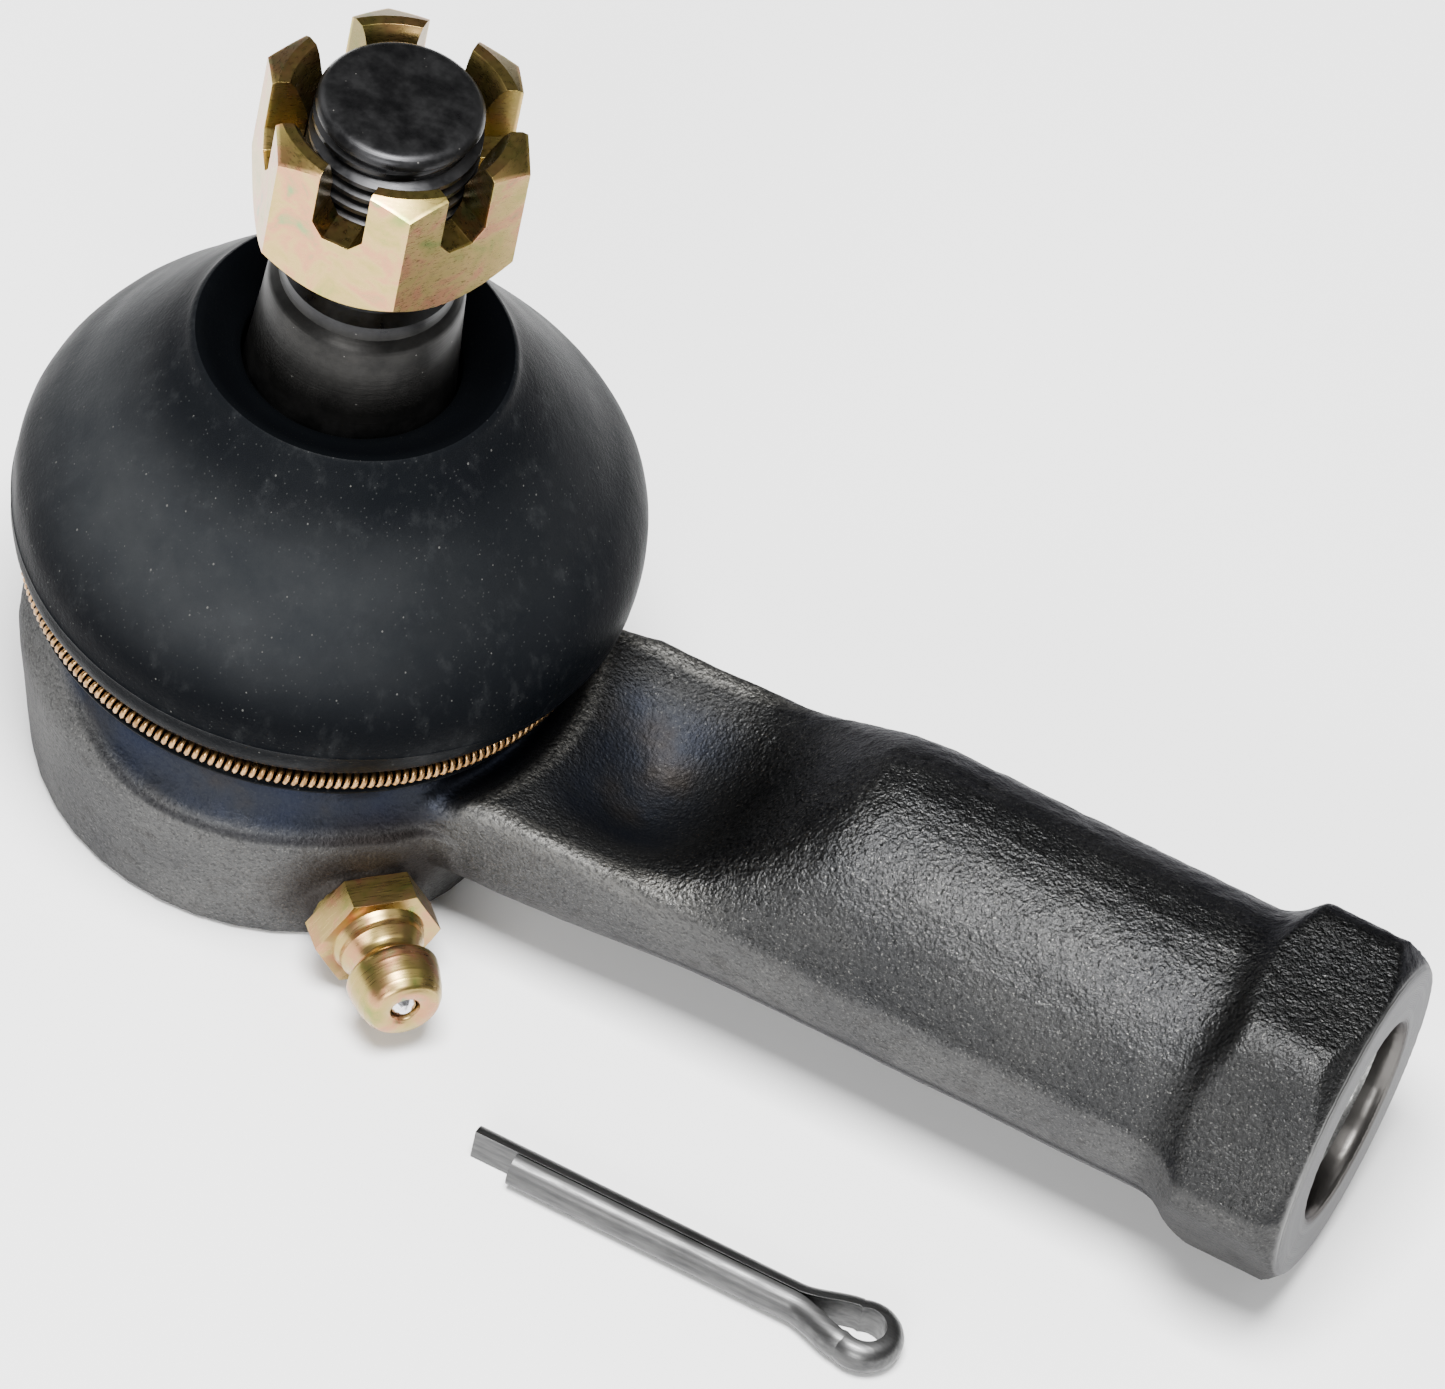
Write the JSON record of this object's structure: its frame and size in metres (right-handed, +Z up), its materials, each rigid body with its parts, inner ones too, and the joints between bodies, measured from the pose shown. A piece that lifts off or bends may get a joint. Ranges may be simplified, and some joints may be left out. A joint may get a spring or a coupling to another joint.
{
  "type": "tie rod end",
  "caption": "Steering tie rod end: ball stud with castle nut, gaitered forged head with grease fitting, tapped shank with wrench pad, and a loose split pin.",
  "frame": {"origin": "where the ball stud's axis meets the flat base that the joint stands on: the closure plate's face, level with the head's crimped rim", "axes": "+Z up the ball stud towards its threaded end, +X along the shank towards its tapped end, +Y to the side away from the grease fitting"},
  "size_m": [0.104, 0.0497, 0.0669],
  "materials": {
    "forged_steel": "forged and shot-blasted, dark oxide",
    "hardened_steel": "ground, black oxide",
    "sintered_metal": "sintered, oil filled",
    "spring_steel": "drawn wire",
    "plate_steel": "pressed sheet, zinc",
    "boot_rubber": "matt moulded rubber",
    "garter_copper": "close-wound coppered wire",
    "yellow_zinc": "yellow passivated zinc",
    "ball_steel": "polished ball",
    "pin_zinc": "bright zinc wire"
  },
  "bodies": {
    "housing": {"housing": "forged_steel", "closure_plate": "plate_steel", "upper_bearing": "sintered_metal", "preload_spring": "spring_steel", "grease_fitting": "yellow_zinc", "fitting_spring": "spring_steel"},
    "boot_swivel": {"dust_boot": "boot_rubber", "garter_spring": "garter_copper"},
    "half_ball": {"half_ball_bearing": "hardened_steel"},
    "stud": {"ball_stud": "hardened_steel"},
    "nut": {"castle_nut": "yellow_zinc"},
    "seat": {"pressure_seat": "sintered_metal"},
    "check": {"check_ball": "ball_steel"},
    "cotter": {"cotter_pin": "pin_zinc"}
  },
  "joints": [
    {"name": "boot_creep", "type": "hinge", "parent": "housing", "child": "boot_swivel", "pos_m": [0, 0, 0.0201], "axis": [0, 0, 1], "continuous": true},
    {"name": "stud_tilt", "type": "hinge", "parent": "boot_swivel", "child": "half_ball", "pos_m": [0, 0, 0.0165], "axis": [0, 1, 0], "range_deg": [-20, 20], "deforming": ["dust_boot"]},
    {"name": "stud_spin", "type": "hinge", "parent": "half_ball", "child": "stud", "pos_m": [0, 0, 0.0165], "axis": [0, 0, 1], "continuous": true},
    {"name": "nut_turn", "type": "hinge", "parent": "stud", "child": "nut", "pos_m": [0, 0, 0.0617], "axis": [0, 0, 1], "continuous": true},
    {"name": "seat_take_up", "type": "slide", "parent": "housing", "child": "seat", "axis": [0, 0, 1], "range_m": [-0.0005, 0], "stiffness_N_per_m": 2000, "springref_m": 0.0002, "deforming": ["preload_spring"]},
    {"name": "check_ball_slide", "type": "slide", "parent": "housing", "child": "check", "axis": [-0.7071, 0.7071, 0], "range_m": [0, 0.0008], "stiffness_N_per_m": 50, "springref_m": -0.0005, "deforming": ["fitting_spring"]},
    {"name": "cotter_lift", "type": "slide", "parent": "housing", "child": "cotter", "axis": [0, 0, 1], "range_m": [0, 0.06]}
  ]
}
